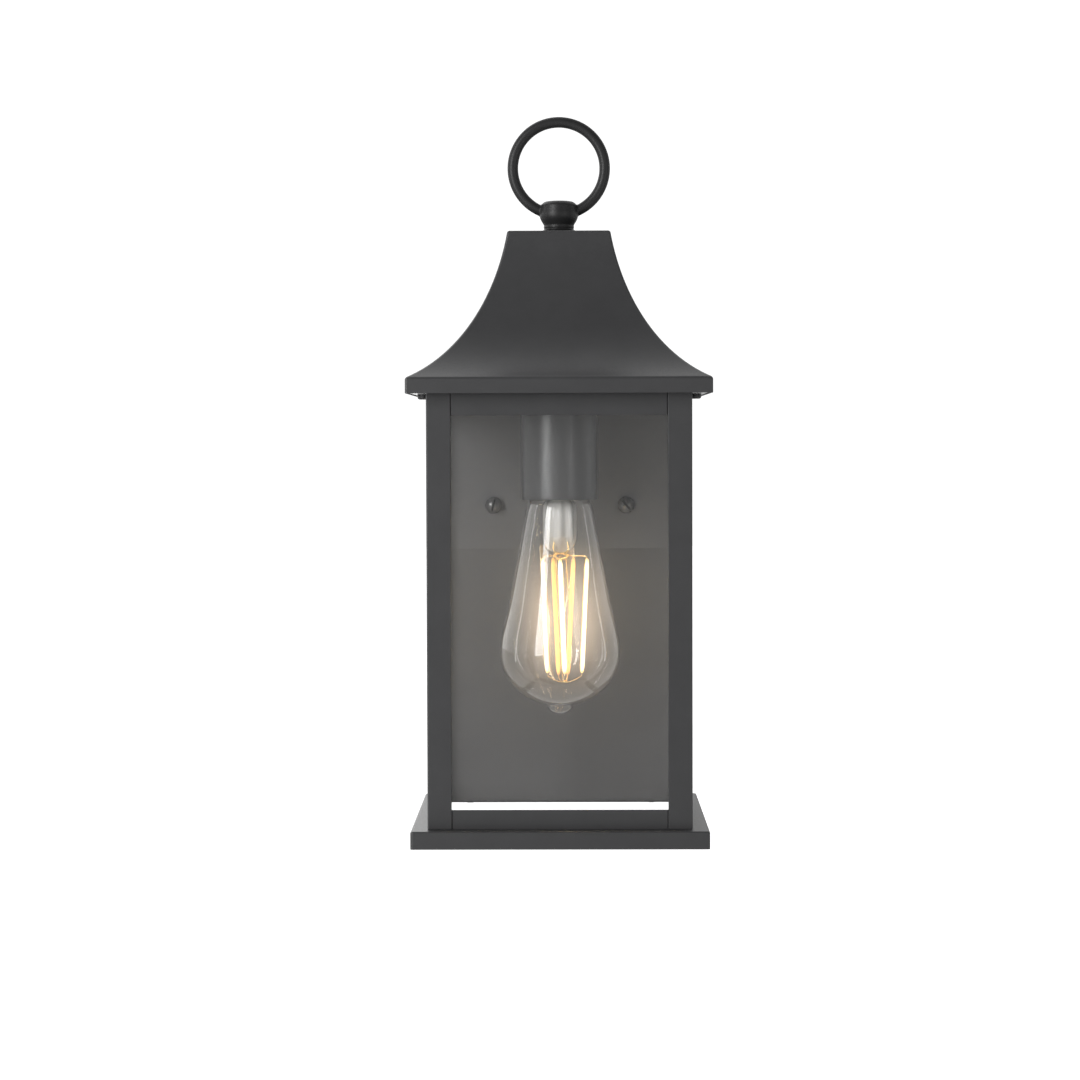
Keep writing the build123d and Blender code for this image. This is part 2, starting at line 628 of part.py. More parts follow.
# ---- wiring that the lantern holds ----
def lead_route(side):
    """From the lampholder up the threaded tube, over, and down through the grommet."""
    inner = side * 1.3
    return [
        (inner, LAMP_Y, 38.0),
        (inner, LAMP_Y, 70.0),
        (side * 4.0, LAMP_Y + 17, 92.0),
        (side * 4.0, -44.0, 91.0),
        (side * 2.2, -17.5, 74.0),
        (side * 2.0, GROMMET_Y, 52.0),
        (side * 8.0, -13.6, 28.0),
        (side * 15.0, -13.8, 6.0),
        (side * 15.5, -14.0, -15.0),
    ]


def ground_route():
    """From the earthing screw down and forward to the lug on the wall pan."""
    return [
        (GROUND_SCREW_X, -3.0, -4.3),
        (GROUND_SCREW_X + 0.6, -3.6, -14.0),
        (GROUND_SCREW_X + 7.0, -10.0, -27.0),
        (GROUND_SCREW_X + 11.0, -21.0, -38.0),
        (GROUND_SCREW_X + 10.0, -26.6, -50.0),
    ]


def round_lead(route, diameter):
    """Straight runs joined by arcs that are as large as the runs allow."""
    points = [Vector(*p) for p in route]
    radii = []
    for before, here, after in zip(points, points[1:], points[2:]):
        first, second = here - before, after - here
        half_turn = radians(first.get_angle(second)) / 2
        radii.append(0.45 * min(first.length, second.length) / tan(half_turn))
    path = FilletPolyline(*points, radius=radii)
    start = Plane(points[0], z_dir=points[1] - points[0])
    tube = sweep(start * Circle(diameter / 2), path=path)
    print("lead length", round(path.length, 1), "radii", [round(r, 1) for r in radii])
    return tube


def wire_nut(side):
    """Ribbed connector cap, mouth upwards."""
    x, y, _ = lead_route(side)[-1]
    mouth_z, mouth_radius, length = -4.0, 6.8, 21.0
    points = [(3.6, 0), (mouth_radius, 0), (mouth_radius, -6.0), (mouth_radius - 1, -7.0),
              (4.2, -length), (0, -length), (0, 4 - length), (2.2, 4 - length)]
    cap = Pos(x, y, mouth_z) * turned(points)
    for i in range(10):
        angle = radians(36 * i)
        rib_x, rib_y = x + mouth_radius * cos(angle), y + mouth_radius * sin(angle)
        cap += Pos(rib_x, rib_y, mouth_z - 3.2) * Cylinder(0.6, 5.6)
    return cap.solids()[0]


def ground_lug():
    """Crimp barrel on a tab that is spot-welded to the inside of the wall pan."""
    x, y, z = ground_route()[-1]
    wall = -PAN_DEPTH + THIN_SHEET
    tab = block(x - 4, x + 4, wall, wall + 0.8, z - 12, z - 1)
    barrel = block(x - 2.2, x + 2.2, wall, y + 2.0, z - 6.0, z - 0.6)
    return tab + barrel


# ---- write every piece ----
save("hanging_ring", ring_torus())
save("ring_holder", ring_holder())
top_fastening()
save("roof_shell", roof_shell())
save("roof_tabs", [roof_tab(side).solids()[0] for side in (-1, 1)])
save("ceiling_plate", ceiling_plate())
save("eave_screws", eave_screws())

for side, hand in ((-1, "left"), (1, "right")):
    save("front_post_" + hand, corner_post(side, False))
    save("rear_post_" + hand, corner_post(side, True))
    save("side_top_rail_" + hand, side_rail(side, TOP_RAIL_BOTTOM, CEILING, True))
    save("side_bottom_rail_" + hand, side_rail(side, BODY_BOTTOM, BOTTOM_RAIL_TOP, False))
    save("side_glass_" + hand, side_glass(side))

save("front_top_rail", front_rail(TOP_RAIL_BOTTOM, CEILING, True))
save("front_bottom_rail", front_bottom_rail())
save("front_glass", front_glass())
save("glass_clips", glass_clips())

save("wall_pan", wall_pan())
save("crossbar", crossbar())
studs_and_nuts()
save("ground_screw", ground_screw())

save("base_frame", base_frame())
save("base_screws", base_screws())

save("socket_cup", socket_cup())
save("lampholder_body", lampholder_body())
save("screw_shell", screw_shell())
save("centre_contact", centre_contact())
save("lampholder_bracket", lampholder_bracket())
save("lamp_nipple", nipple())
save("nipple_locknuts", nipple_locknuts())
save("ceiling_grommet", ceiling_grommet())

save("bulb_glass", bulb_glass())
save("bulb_cap", bulb_cap())
save("bulb_insulator", bulb_insulator())
save("bulb_tip_contact", bulb_tip())
save("bulb_stem", bulb_stem())
save("bulb_filaments", filaments())
save("bulb_support_wires", support_wires())
save("bulb_driver_board", driver_board())

save("lead_black", round_lead(lead_route(-1), LEAD_DIAMETER))
save("lead_white", round_lead(lead_route(1), LEAD_DIAMETER))
save("ground_lead", round_lead(ground_route(), GROUND_LEAD_DIAMETER))
save("wire_nuts", [wire_nut(side) for side in (-1, 1)])
save("ground_lug", ground_lug())
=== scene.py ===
import json
import math

import bmesh
import bpy
from mathutils import Matrix, Vector


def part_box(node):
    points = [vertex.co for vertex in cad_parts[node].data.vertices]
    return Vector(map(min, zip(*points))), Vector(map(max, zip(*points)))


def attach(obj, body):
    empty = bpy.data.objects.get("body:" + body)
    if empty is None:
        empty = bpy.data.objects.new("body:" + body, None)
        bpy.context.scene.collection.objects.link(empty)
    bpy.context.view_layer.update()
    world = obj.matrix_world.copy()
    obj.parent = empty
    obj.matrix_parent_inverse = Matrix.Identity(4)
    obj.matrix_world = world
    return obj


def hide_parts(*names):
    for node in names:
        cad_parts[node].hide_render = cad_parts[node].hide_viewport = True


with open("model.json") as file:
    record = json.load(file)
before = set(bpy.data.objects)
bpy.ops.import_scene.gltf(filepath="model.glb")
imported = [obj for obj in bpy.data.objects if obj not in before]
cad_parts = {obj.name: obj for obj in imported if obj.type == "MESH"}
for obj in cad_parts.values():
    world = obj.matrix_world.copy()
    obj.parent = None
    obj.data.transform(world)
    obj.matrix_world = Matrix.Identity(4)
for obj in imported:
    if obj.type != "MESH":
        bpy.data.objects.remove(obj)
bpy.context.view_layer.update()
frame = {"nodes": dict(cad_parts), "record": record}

# Outdoor wall lantern. Sizes are in millimetres, and only the floor's and the softboxes' are in metres.
MM = 0.001
UP = Vector((0, 0, 1))


def corners(node):
    """Lowest and highest corner of a CAD piece, in millimetres."""
    low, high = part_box(node)
    return low / MM, high / MM


roof_low, roof_high = corners("roof_shell")
cup_low, cup_high = corners("socket_cup")
lamp_low, lamp_high = corners("bulb_glass")
ring_low, ring_high = corners("hanging_ring")
holder_low, holder_high = corners("ring_holder")
ROOF_HALF = (roof_high.x - roof_low.x) / 2
ROOF_MIDDLE = roof_low.y + ROOF_HALF
LAMP_X = (cup_low.x + cup_high.x) / 2
LAMP_Y = (cup_low.y + cup_high.y) / 2


# ---- shader nodes ----
def add(tree, kind, **values):
    """A shader node. Names of its sockets set the sockets, and other names set the node itself."""
    node = tree.nodes.new(kind)
    for key, value in values.items():
        socket = key.replace("_", " ")
        if socket in node.inputs:
            node.inputs[socket].default_value = value
        else:
            setattr(node, key, value)
    return node


def feed(tree, socket, value):
    """Gives an input a number, or links it to another node's output."""
    if isinstance(value, (int, float)):
        socket.default_value = value
    else:
        tree.links.new(value, socket)


def ramp_range(tree, source, low, high, to_low, to_high, smooth=True):
    """Maps a value from one range to another."""
    node = add(tree, "ShaderNodeMapRange", From_Min=low, From_Max=high, To_Min=to_low, To_Max=to_high)
    if smooth:
        node.interpolation_type = "SMOOTHSTEP"
    feed(tree, node.inputs["Value"], source)
    return node.outputs["Result"]


def sums(tree, operation, first, second, clamp=False):
    """Adds, multiplies, divides or compares two values."""
    node = add(tree, "ShaderNodeMath", operation=operation, use_clamp=clamp)
    feed(tree, node.inputs[0], first)
    feed(tree, node.inputs[1], second)
    return node.outputs[0]


def blend(tree, share, first, second):
    """The first value where share is 0, the second where it is 1."""
    node = add(tree, "ShaderNodeMix", data_type="FLOAT")
    feed(tree, node.inputs[0], share)
    feed(tree, node.inputs[2], first)
    feed(tree, node.inputs[3], second)
    return node.outputs[0]


def new_material(name):
    made = bpy.data.materials.new(name)
    made.use_nodes = True
    return made, made.node_tree, made.node_tree.nodes["Principled BSDF"]


def object_points(tree, stretch=(1, 1, 1)):
    """Object coordinates, stretched along the axes where a finish has a direction."""
    where = add(tree, "ShaderNodeTexCoord")
    mapping = add(tree, "ShaderNodeMapping", Scale=stretch)
    tree.links.new(where.outputs["Object"], mapping.inputs["Vector"])
    return mapping.outputs["Vector"]


def split(tree, points):
    """The X, Y and Z of points."""
    axes = add(tree, "ShaderNodeSeparateXYZ")
    tree.links.new(points, axes.inputs[0])
    return axes.outputs


def noise(tree, points, scale, detail=3.0, rough=0.55):
    node = add(tree, "ShaderNodeTexNoise", Scale=scale, Detail=detail, Roughness=rough)
    tree.links.new(points, node.inputs["Vector"])
    return node.outputs["Fac"]


def two_tones(tree, share, first, second, start=0.0, stop=1.0):
    """A colour between two tones."""
    tones = add(tree, "ShaderNodeValToRGB")
    for element, tone, place in zip(tones.color_ramp.elements, (first, second), (start, stop)):
        element.color = (*tone, 1)
        element.position = place
    tree.links.new(share, tones.inputs["Fac"])
    return tones.outputs["Color"]


def raise_surface(tree, shader, height, depth):
    """Relief of a depth in millimetres."""
    bump = add(tree, "ShaderNodeBump", Distance=depth * MM, Strength=1.0)
    tree.links.new(height, bump.inputs["Height"])
    tree.links.new(bump.outputs["Normal"], shader.inputs["Normal"])


def seen_directly(tree):
    """1 for what is seen straight or through glass, 0 for what only lights or shows in a reflection."""
    path = add(tree, "ShaderNodeLightPath")
    straight_or_through = sums(tree, "ADD", path.outputs["Is Camera Ray"], path.outputs["Is Transmission Ray"], True)
    unreflected = sums(tree, "LESS_THAN", path.outputs["Glossy Depth"], 0.5)
    return sums(tree, "MULTIPLY", straight_or_through, unreflected)


# ---- camera, light and floor ----
CAMERA_SPOT = (4.2, -1544.0, 34.95)
CAMERA_LENS = 92.4
SENSOR_WIDTH = 36.0
PITCH, YAW, ROLL = -2.046, 0.572, -0.17      # degrees


def set_camera():
    camera = bpy.data.objects.new("camera", bpy.data.cameras.new("camera"))
    bpy.context.scene.collection.objects.link(camera)
    camera.data.lens = CAMERA_LENS
    camera.data.sensor_width = SENSOR_WIDTH
    place = Matrix.Translation(Vector(CAMERA_SPOT) * MM)
    for angle, axis in ((YAW, "Z"), (90 + PITCH, "X"), (ROLL, "Z")):
        place = place @ Matrix.Rotation(math.radians(angle), 4, axis)
    camera.matrix_world = place
    bpy.context.scene.camera = camera


# The studio by direction, each component from -1 to 1. A ramp is (from, to, value before, value after).
FRONT_BY_HEIGHT = (0.05, 0.45, 0.62, 0.19)
BEHIND_LEVEL = 1.15
FRONT_TO_BEHIND = (-0.25, 0.45, 0.0, 1.0)
ROOM_ACROSS = (-0.4, 0.4, 1.35, 0.7)
BACKDROP_ACROSS = (-0.08, 0.08, 1.75, 0.42)
BACKDROP_EDGE = (0.9, 0.98, 0.0, 1.0)
WALL_TOP = (0.2, 0.5, 1.0, 0.0)
WALL_ENDS = ((-0.15, 0.15, 0.0, 1.0), (0.82, 0.93, 1.0, 0.0))
WALL_LEVEL = 0.85
SEEN_LEVEL = 1.12


def set_world():
    """A studio that is bright behind and to the left, and dim in front above the camera."""
    world = bpy.data.worlds.new("studio")
    bpy.context.scene.world = world
    world.use_nodes = True
    tree = world.node_tree
    background = tree.nodes["Background"]
    where = add(tree, "ShaderNodeTexCoord")
    across, away, up = split(tree, where.outputs["Generated"])
    by_depth = blend(tree, ramp_range(tree, away, *FRONT_TO_BEHIND), ramp_range(tree, up, *FRONT_BY_HEIGHT),
                     BEHIND_LEVEL)
    by_width = blend(tree, ramp_range(tree, away, *BACKDROP_EDGE), ramp_range(tree, across, *ROOM_ACROSS),
                     ramp_range(tree, across, *BACKDROP_ACROSS))
    # the low side walls between the softboxes and the backdrop are a little darker
    low_wall = ramp_range(tree, up, *WALL_TOP)
    for end in WALL_ENDS:
        low_wall = sums(tree, "MULTIPLY", low_wall, ramp_range(tree, away, *end))
    darker = ramp_range(tree, low_wall, 0.0, 1.0, 1.0, WALL_LEVEL, smooth=False)
    level = sums(tree, "MULTIPLY", sums(tree, "MULTIPLY", by_depth, by_width), darker)
    tree.links.new(blend(tree, seen_directly(tree), level, SEEN_LEVEL), background.inputs["Strength"])
    background.inputs["Color"].default_value = (1, 1, 1, 1)


LIGHTS_AIM = (0, -80, 20)              # millimetres: the middle of the lantern
# each tall softbox: its angle round the lantern from the camera's side, its distance, its height, its width
# and length, and its power
SOFTBOXES = {
    "key_light": (-40, 1.5, 0.35, (0.45, 1.1), 17.5),
    "fill_light": (36, 1.6, 0.1, (0.35, 1.1), 2.6),
    "left_strip": (-93, 1.2, 0.1, (0.05, 1.0), 0.7),
    "right_strip": (95, 1.2, 0.1, (0.05, 1.0), 0.7),
}


def set_softboxes():
    for name, (angle, distance, height, size, power) in SOFTBOXES.items():
        light = bpy.data.lights.new(name, "AREA")
        light.shape = "RECTANGLE"
        light.size, light.size_y = size
        light.energy = power
        lamp = bpy.data.objects.new(name, light)
        bpy.context.scene.collection.objects.link(lamp)
        turn = math.radians(angle)
        aim = Vector(LIGHTS_AIM) * MM
        spot = aim + Vector((math.sin(turn) * distance, -math.cos(turn) * distance, height))
        facing = (aim - spot).to_track_quat("-Z", "Y").to_matrix().to_4x4()
        lamp.matrix_world = Matrix.Translation(spot) @ facing
        lamp.visible_camera = False


FLOOR_SIZE, FLOOR_HEIGHT = 24, -0.48
FLOOR_GLOW_UNSEEN, FLOOR_GLOW_SEEN = 0.05, 0.85


def set_floor():
    bpy.ops.object.select_all(action="DESELECT")
    bpy.ops.mesh.primitive_plane_add(size=FLOOR_SIZE, location=(0, 0, FLOOR_HEIGHT))
    floor = bpy.context.object
    floor.name = "floor"
    paint, tree, shader = new_material("floor_white")
    shader.inputs["Base Color"].default_value = (0.6, 0.6, 0.6, 1)
    shader.inputs["Roughness"].default_value = 0.9
    shader.inputs["Emission Color"].default_value = (1, 1, 1, 1)
    glow = ramp_range(tree, seen_directly(tree), 0.0, 1.0, FLOOR_GLOW_UNSEEN, FLOOR_GLOW_SEEN, smooth=False)
    tree.links.new(glow, shader.inputs["Emission Strength"])
    floor.data.materials.append(paint)


# ---- finishes ----
COAT_ROUGHNESS = 0.1
NOISE_LOW, NOISE_HIGH = 0.3, 0.7       # nearly all of a noise's values lie between these


def finish(name, dark, light, rough, grain, relief, metal=0.0, blotch=55.0, stretch=(1, 1, 1), coat=0.0,
           ior=1.5):
    """A solid finish: two close tones in soft blotches, uneven gloss and a fine relief."""
    made, tree, shader = new_material(name)
    points = object_points(tree, stretch)
    colour = two_tones(tree, noise(tree, points, blotch), dark, light, NOISE_LOW, NOISE_HIGH)
    tree.links.new(colour, shader.inputs["Base Color"])
    fine = noise(tree, points, grain, 2.0, 0.6)
    tree.links.new(ramp_range(tree, fine, NOISE_LOW, NOISE_HIGH, *rough), shader.inputs["Roughness"])
    raise_surface(tree, shader, fine, relief)
    shader.inputs["Metallic"].default_value = metal
    shader.inputs["IOR"].default_value = ior
    shader.inputs["Coat Weight"].default_value = coat
    shader.inputs["Coat Roughness"].default_value = COAT_ROUGHNESS
    return made


WAVE_SHADE = 0.985                     # how dark the glass is in the hollows of its waves
# colour of the painted glow on the lamp's glass, which stands in for the lit sticks' reflection
PAINTED_GLOW_COLOUR = (1.0, 0.76, 0.55, 1)
# where the painted glow sits on the glass round the lit sticks: (axis, dark at, full at) in millimetres
PAINTED_GLOW_EDGES = (("Z", -103, -60), ("Z", -14, -60), ("X", -27, -4), ("X", 31, 8))


def paint_stick_reflection(tree, shader, points, painted_glow):
    """Painted glow: a warm emission on the lamp's glass round the lit sticks, standing in for their reflection in
    the glass.
    """
    axes = split(tree, points)
    inside = None
    for axis, dark, full in PAINTED_GLOW_EDGES:
        if dark < full:
            edge = ramp_range(tree, axes[axis], dark * MM, full * MM, 0.0, 1.0)
        else:
            edge = ramp_range(tree, axes[axis], full * MM, dark * MM, 1.0, 0.0)
        inside = edge if inside is None else sums(tree, "MULTIPLY", inside, edge)
    glow = ramp_range(tree, inside, 0.0, 1.0, 0.0, painted_glow, smooth=False)
    tree.links.new(glow, shader.inputs["Emission Strength"])
    shader.inputs["Emission Color"].default_value = PAINTED_GLOW_COLOUR


def clear(name, tint, ior, rough, wave_scale, wave, clarity=1.0, painted_glow=0.0):
    """Clear glass with a faint waviness, that lamps shine through. The lamp's own glass also has a painted glow
    round the lit sticks, standing in for their reflection.
    """
    made, tree, shader = new_material(name)
    shader.inputs["Transmission Weight"].default_value = clarity
    shader.inputs["IOR"].default_value = ior
    shader.inputs["Roughness"].default_value = rough
    points = object_points(tree)
    waves = noise(tree, points, wave_scale, 1.0, 0.4)
    colour = two_tones(tree, waves, [c * WAVE_SHADE for c in tint], tint)
    tree.links.new(colour, shader.inputs["Base Color"])
    raise_surface(tree, shader, waves, wave)
    if painted_glow:
        paint_stick_reflection(tree, shader, points, painted_glow)
    path = add(tree, "ShaderNodeLightPath")
    see_through = add(tree, "ShaderNodeBsdfTransparent")
    mix = add(tree, "ShaderNodeMixShader")
    out = tree.nodes["Material Output"]
    tree.links.new(path.outputs["Is Shadow Ray"], mix.inputs[0])
    tree.links.new(shader.outputs["BSDF"], mix.inputs[1])
    tree.links.new(see_through.outputs["BSDF"], mix.inputs[2])
    tree.links.new(mix.outputs["Shader"], out.inputs["Surface"])
    return made


GLOW_FADE = 5.0                        # how far from a stick's end its glow dies away
GLOW_GRAIN = 900.0
END_POWER, END_SHOWN = 0.08, 0.45      # what is left of the glow at a stick's ends


def glowing(name, phosphor, end_glow, glow, power, shown, z_top, z_end):
    """Phosphor that glows brightest along its middle and dies away at both ends. What is seen directly is
    held down to shown, while the light it throws has its full power."""
    made, tree, shader = new_material(name)
    made.cycles.emission_sampling = "FRONT"
    points = object_points(tree)
    height = split(tree, points)["Z"]
    lit = sums(tree, "MULTIPLY",
               ramp_range(tree, height, z_end * MM, (z_end + GLOW_FADE) * MM, 0.0, 1.0),
               ramp_range(tree, height, (z_top - GLOW_FADE) * MM, z_top * MM, 1.0, 0.0))
    thrown = ramp_range(tree, lit, 0.0, 1.0, power * END_POWER, power)
    held = ramp_range(tree, lit, 0.0, 1.0, shown * END_SHOWN, shown)
    grains = ramp_range(tree, noise(tree, points, GLOW_GRAIN), NOISE_LOW, NOISE_HIGH, 0.85, 1.15)
    strength = sums(tree, "MULTIPLY", blend(tree, seen_directly(tree), thrown, held), grains)
    # the strength stays a plain number, and the colour carries what varies
    dimmed = add(tree, "ShaderNodeVectorMath", operation="SCALE")
    tree.links.new(two_tones(tree, lit, end_glow, glow), dimmed.inputs[0])
    tree.links.new(sums(tree, "DIVIDE", strength, power), dimmed.inputs["Scale"])
    tree.links.new(dimmed.outputs[0], shader.inputs["Emission Color"])
    shader.inputs["Emission Strength"].default_value = power
    shader.inputs["Base Color"].default_value = (*phosphor, 1)
    shader.inputs["Roughness"].default_value = 0.6
    return made


# finish: name, dark tone, light tone, roughness range, grain scale, relief in millimetres
powder_black = finish("powder_coat_black", (0.034, 0.034, 0.0355), (0.039, 0.039, 0.0405), (0.32, 0.44),
                      1500.0, 0.012)
# painted light: the back pan is the same black paint, its tone raised to stand in for the lamp's light falling on it
pan_black_painted_light = finish("powder_coat_smooth_painted_light", (0.082, 0.0815, 0.083), (0.089, 0.0885, 0.090), (0.385, 0.395),
                   300.0, 0.0)
cast_black = finish("cast_black", (0.013, 0.013, 0.0135), (0.018, 0.018, 0.0185), (0.40, 0.46),
                    1200.0, 0.002, ior=1.38)
plate_black = finish("plate_black", (0.034, 0.034, 0.0355), (0.040, 0.040, 0.0415), (0.10, 0.14), 600.0, 0.0)
nut_black = finish("nut_black", (0.055, 0.055, 0.0555), (0.065, 0.065, 0.0655), (0.24, 0.28), 900.0, 0.002)
# painted shade: the walls of the nuts' driver slots are near black, with almost no reflection, to stand in for the
# shade inside them
slot_painted_shade = finish("slot_painted_shade", (0.004, 0.004, 0.004), (0.007, 0.007, 0.007), (0.6, 0.7), 900.0, 0.002,
                    ior=1.05)
# partly the cup's own satin finish, partly painted light: its tone is raised above the other black paint to stand in
# for the lamp's light on it
satin_black = finish("satin_black", (0.062, 0.062, 0.0625), (0.068, 0.068, 0.0685), (0.36, 0.42), 900.0, 0.0)
black_oxide = finish("black_oxide", (0.016, 0.016, 0.018), (0.03, 0.03, 0.032), (0.3, 0.45), 2200.0, 0.02)
zinc = finish("zinc_plate", (0.50, 0.51, 0.53), (0.66, 0.67, 0.68), (0.24, 0.38), 1800.0, 0.01,
              metal=1.0, blotch=90.0, stretch=(1, 1, 3))
porcelain = finish("porcelain", (0.78, 0.76, 0.71), (0.86, 0.85, 0.81), (0.12, 0.2), 700.0, 0.01, coat=0.5)
brass = finish("plain_brass", (0.62, 0.43, 0.17), (0.78, 0.60, 0.28), (0.22, 0.34), 1500.0, 0.01,
               metal=1.0, blotch=120.0)
nickel = finish("nickel_shell", (0.58, 0.57, 0.54), (0.72, 0.71, 0.68), (0.16, 0.28), 1600.0, 0.01,
                metal=1.0, blotch=150.0)
solder = finish("dull_solder", (0.42, 0.42, 0.43), (0.60, 0.60, 0.61), (0.35, 0.5), 2500.0, 0.03,
                metal=1.0, blotch=400.0)
black_glass = finish("black_glass", (0.012, 0.012, 0.015), (0.022, 0.022, 0.028), (0.05, 0.1), 900.0, 0.01,
                     coat=0.4)
gold_wire = finish("gold_wire", (0.80, 0.54, 0.24), (0.95, 0.74, 0.40), (0.18, 0.3), 2500.0, 0.01,
                   metal=1.0, blotch=500.0)
board_green = finish("circuit_board", (0.03, 0.16, 0.08), (0.05, 0.25, 0.12), (0.3, 0.5), 1600.0, 0.02)
rubber = finish("black_rubber", (0.014, 0.014, 0.014), (0.024, 0.024, 0.024), (0.65, 0.8), 1200.0, 0.02)
green_screw = finish("green_screw", (0.02, 0.20, 0.06), (0.04, 0.30, 0.10), (0.28, 0.4), 1500.0, 0.01)
copper = finish("bare_copper", (0.60, 0.27, 0.15), (0.74, 0.40, 0.24), (0.25, 0.4), 1700.0, 0.01,
                metal=1.0, blotch=200.0)
black_wire = finish("black_insulation", (0.014, 0.014, 0.015), (0.022, 0.022, 0.023), (0.4, 0.5), 900.0, 0.01)
white_wire = finish("white_insulation", (0.76, 0.76, 0.74), (0.85, 0.85, 0.83), (0.4, 0.5), 900.0, 0.01)
orange_cap = finish("connector_orange", (0.72, 0.22, 0.03), (0.85, 0.30, 0.05), (0.4, 0.55), 1100.0, 0.02)

# clear: name, tint, refraction, roughness, wave scale, wave depth in millimetres
pane_glass = clear("pane_glass", (0.993, 0.996, 0.993), 1.5, 0.0, 9.0, 0.004)
# the lamp's glass carries a painted glow round the lit sticks, standing in for their reflection in it
lamp_glass = clear("lamp_glass", (0.995, 0.99, 0.985), 1.40, 0.0, 60.0, 0.008, clarity=0.994, painted_glow=0.15)
stem_glass = clear("stem_glass", (0.99, 0.98, 0.95), 1.5, 0.02, 300.0, 0.08, clarity=0.12)

# glowing: name, phosphor, glow at the ends, glow, power, shown, top and end of the glow
bright_phosphor = glowing("phosphor_bright", (0.95, 0.80, 0.45), (1.0, 0.62, 0.18), (1.0, 0.84, 0.56),
                          45.0, 1.9, -25.5, -88.5)
amber_phosphor = glowing("phosphor_amber", (0.90, 0.62, 0.25), (0.9, 0.45, 0.10), (1.0, 0.58, 0.20),
                         3.0, 0.80, -25.5, -90.0)

SLOT_FINISH = {
    "black_paint": powder_black, "black_screw": black_oxide, "satin_black": satin_black, "zinc_steel": zinc,
    "clear_glass": pane_glass, "lamp_glass": lamp_glass, "porcelain": porcelain, "brass": brass, "nickel": nickel,
    "solder": solder, "black_glass": black_glass, "lamp_wire": gold_wire, "circuit_board": board_green,
    "black_rubber": rubber, "green_screw": green_screw, "copper": copper, "black_insulation": black_wire,
    "white_insulation": white_wire, "connector_orange": orange_cap, "filament": bright_phosphor,
}


def dress(piece, *materials):
    piece.data.materials.clear()
    for material in materials:
        piece.data.materials.append(material)


def dress_cad_nodes():
    for part in frame["record"]["subparts"]:
        dress(frame["nodes"][part["node"]], SLOT_FINISH[part["material_slot"]])
    dress(frame["nodes"]["ceiling_plate"], plate_black)


# ---- workshop ----
MERGE_GAP = 0.001
TOUCH = 1e-6                           # metres: how close to a level counts as on it


def only(piece):
    bpy.ops.object.select_all(action="DESELECT")
    piece.select_set(True)
    bpy.context.view_layer.objects.active = piece


def settle(piece, name):
    """Names a fresh piece and puts its place into its mesh."""
    piece.name = name
    only(piece)
    bpy.ops.object.transform_apply(location=True, rotation=True, scale=True)
    return piece


def edit(piece):
    only(piece)
    bpy.ops.object.mode_set(mode="EDIT")
    bpy.ops.mesh.select_all(action="SELECT")


def leave():
    bpy.ops.object.mode_set(mode="OBJECT")


def join(pieces):
    """Joins pieces into the first of them."""
    only(pieces[0])
    for piece in pieces[1:]:
        piece.select_set(True)
    bpy.ops.object.join()
    return pieces[0]


def pick(piece, kind, wanted):
    """Selects, in edit mode, the vertices, edges or faces that wanted() accepts, and counts them."""
    mesh = bmesh.from_edit_mesh(piece.data)
    bpy.context.tool_settings.mesh_select_mode = (kind == "verts", kind == "edges", kind == "faces")
    bpy.ops.mesh.select_all(action="DESELECT")
    chosen = [item for item in getattr(mesh, kind) if wanted(item)]
    for item in chosen:
        item.select_set(True)
    mesh.select_flush_mode()
    bmesh.update_edit_mesh(piece.data)
    return len(chosen)


def on_level(level, touch=TOUCH):
    """A test for edges and faces that lie at a height, in metres."""
    return lambda item: all(abs(vert.co.z - level) < touch for vert in item.verts)


def modify(piece, kind, **settings):
    """Adds one modifier and applies it."""
    only(piece)
    modifier = piece.modifiers.new(kind.lower(), kind)
    for key, value in settings.items():
        setattr(modifier, key, value)
    bpy.ops.object.modifier_apply(modifier=modifier.name)


def clean(piece):
    """Merges doubles and turns every face outwards."""
    edit(piece)
    bpy.ops.mesh.remove_doubles(threshold=MERGE_GAP * MM)
    bpy.ops.mesh.normals_make_consistent(inside=False)
    leave()


def smooth(piece, angle):
    only(piece)
    bpy.ops.object.shade_smooth_by_angle(angle=math.radians(angle))


def flat_faces(piece):
    """Keeps large flat faces flat where rounded edges meet them."""
    modify(piece, "WEIGHTED_NORMAL", mode="FACE_AREA", weight=90, keep_sharp=True)


def thicken(piece, thickness, even=True):
    """Gives a skin its thickness, inwards."""
    modify(piece, "SOLIDIFY", thickness=thickness * MM, offset=-1.0, use_even_offset=even)


def round_edges(piece, width, segments, sharper_than):
    modify(piece, "BEVEL", width=width * MM, segments=segments, limit_method="ANGLE",
           angle_limit=math.radians(sharper_than))


def install(piece, body, slot, materials, *nodes):
    """Dresses a finished piece, unless it is dressed already, parents it to its body's empty and hides the CAD nodes
    it replaces.
    """
    if materials:
        dress(piece, *materials)
    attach(piece, body)
    if nodes:
        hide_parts(*nodes)


def turned(name, stations, x, y, sides=96, closed=True):
    """A turned piece: a circle, extruded and resized from station to station. A station is (radius, z)."""
    radius, height = stations[0]
    bpy.ops.object.select_all(action="DESELECT")
    bpy.ops.mesh.primitive_circle_add(vertices=sides, radius=radius * MM, location=(x * MM, y * MM, height * MM))
    piece = settle(bpy.context.object, name)
    edit(piece)
    for new_radius, new_height in stations[1:]:
        bpy.ops.mesh.extrude_edges_move(TRANSFORM_OT_translate={"value": (0, 0, (new_height - height) * MM)})
        scale = new_radius / radius
        middle = (x * MM, y * MM, new_height * MM)
        bpy.ops.transform.resize(value=(scale, scale, 1), center_override=middle)
        radius, height = new_radius, new_height
    if closed:
        bpy.ops.mesh.merge(type="CENTER")
    leave()
    clean(piece)
    return piece


def bezier(points, steps):
    """Points along a cubic curve, without its first point."""
    a, b, c, d = (Vector(p) for p in points)
    found = []
    for i in range(1, steps + 1):
        t = i / steps
        s = 1 - t
        found.append(tuple(a * s**3 + b * (3 * s * s * t) + c * (3 * s * t * t) + d * t**3))
    return found


